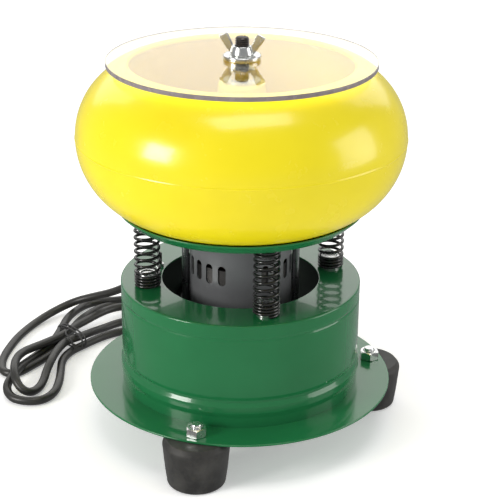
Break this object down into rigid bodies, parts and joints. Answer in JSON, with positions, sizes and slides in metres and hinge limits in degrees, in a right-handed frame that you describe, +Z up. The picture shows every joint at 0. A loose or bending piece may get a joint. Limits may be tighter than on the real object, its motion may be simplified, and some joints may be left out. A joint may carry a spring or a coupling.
{
  "type": "vibratory rock tumbler",
  "caption": "Vibratory rock tumbler: ring-shaped bowl with a clear lid and wing nut, carried on coil springs over a drum base with an out-of-balance motor and rubber feet.",
  "frame": {"origin": "on the bowl's vertical axis, at the floor that the feet stand on", "axes": "+Z up the axis of the bowl and motor; front is -Y, between the front and right feet; +X to the right seen from the front"},
  "size_m": [0.3137, 0.3288, 0.2907],
  "materials": {
    "green_paint": "gloss enamel over sheet steel",
    "yellow_plastic": "glossy rotomoulded plastic",
    "clear_lid": "clear cast acrylic, polished",
    "black_rubber": "moulded rubber",
    "spring_steel": "black-finished spring wire",
    "zinc_steel": "bright zinc plate",
    "black_steel": "black oxide",
    "motor_grey": "satin grey enamel",
    "bare_steel": "ground steel",
    "lamination": "stacked laminations",
    "copper_coil": "lacquered winding, taped",
    "cast_weight": "as cast, machined bore",
    "brass_screw": "bright",
    "terminal_plastic": "moulded nylon",
    "black_cord": "satin PVC sheath",
    "plug_black": "moulded PVC"
  },
  "bodies": {
    "base": {"foot_front": "black_rubber", "foot_right": "black_rubber", "foot_rear": "black_rubber", "foot_bolts": "zinc_steel", "foot_washers": "zinc_steel", "foot_nuts": "zinc_steel", "base_flange": "green_paint", "base_drum": "green_paint", "earth_screw": "black_steel", "earth_nut": "zinc_steel", "spring_lower_spigots": "zinc_steel", "spring_lower_screws": "zinc_steel", "spring_front": "spring_steel", "spring_right": "spring_steel", "spring_rear": "spring_steel", "spring_left": "spring_steel", "cord_strain_relief": "black_rubber", "terminal_block": "terminal_plastic", "terminal_screws": "brass_screw", "supply_lead": "black_cord", "motor_lead": "black_cord", "power_cord_lead": "black_cord", "power_cord_loops": "black_cord", "power_cord_hank": "black_cord", "cord_tie": "plug_black", "power_plug": "plug_black", "plug_pins": "brass_screw"},
    "head": {"top_plate": "green_paint", "spring_upper_spigots": "zinc_steel", "spring_upper_screws": "zinc_steel", "center_stud": "black_steel", "stud_lower_nut": "zinc_steel", "stud_upper_nut": "zinc_steel", "motor_can": "motor_grey", "motor_top_cap": "motor_grey", "motor_bottom_cap": "motor_grey", "motor_posts": "bare_steel", "motor_post_nuts": "zinc_steel", "stator_core": "lamination", "stator_coils": "copper_coil", "bearing_outer_rings": "bare_steel"},
    "rotor": {"rotor_core": "lamination", "motor_shaft": "bare_steel", "bearing_inner_rings": "bare_steel", "eccentric_weight": "cast_weight", "weight_screw": "black_steel"},
    "ball_sets": {"bearing_balls": "bare_steel"},
    "bowl": {"bowl": "yellow_plastic"},
    "bowl_washer": {"bowl_washer": "zinc_steel"},
    "bowl_nut": {"bowl_nut": "zinc_steel"},
    "lid": {"lid": "clear_lid"},
    "lid_washer": {"lid_washer": "zinc_steel"},
    "wing_nut": {"wing_nut": "zinc_steel"}
  },
  "joints": [
    {"name": "spring_bounce", "type": "slide", "parent": "base", "child": "head", "axis": [0, 0, 1], "range_m": [-0.008, 0.004], "stiffness_N_per_m": 15000, "springref_m": 0.00174, "deforming": ["spring_front", "spring_right", "spring_rear", "spring_left", "motor_lead"]},
    {"name": "rotor_spin", "type": "hinge", "parent": "head", "child": "rotor", "pos_m": [0, 0, 0.1], "axis": [0, 0, 1], "continuous": true},
    {"name": "ball_roll", "type": "hinge", "parent": "head", "child": "ball_sets", "pos_m": [0, 0, 0.1], "axis": [0, 0, 1], "continuous": true},
    {"name": "bowl_lift", "type": "slide", "parent": "head", "child": "bowl", "axis": [0, 0, 1], "range_m": [0, 0.13]},
    {"name": "bowl_washer_lift", "type": "slide", "parent": "bowl", "child": "bowl_washer", "axis": [0, 0, 1], "range_m": [0, 0.0046]},
    {"name": "bowl_nut_turn", "type": "hinge", "parent": "bowl_washer", "child": "bowl_nut", "pos_m": [0, 0, 0.2605], "axis": [0, 0, 1], "range_deg": [0, 1080]},
    {"name": "lid_lift", "type": "slide", "parent": "bowl", "child": "lid", "axis": [0, 0, 1], "range_m": [0, 0.06]},
    {"name": "lid_washer_lift", "type": "slide", "parent": "lid", "child": "lid_washer", "axis": [0, 0, 1], "range_m": [0, 0.0121]},
    {"name": "wing_nut_turn", "type": "hinge", "parent": "lid_washer", "child": "wing_nut", "pos_m": [0, 0, 0.2759], "axis": [0, 0, 1], "range_deg": [0, 2880]}
  ],
  "couplings": [
    {"joint": "ball_roll", "follows": "rotor_spin", "ratio": 0.4},
    {"joint": "bowl_washer_lift", "follows": "bowl_nut_turn", "m_per_rad": 0.00023873},
    {"joint": "lid_washer_lift", "follows": "wing_nut_turn", "m_per_rad": 0.00023873}
  ]
}
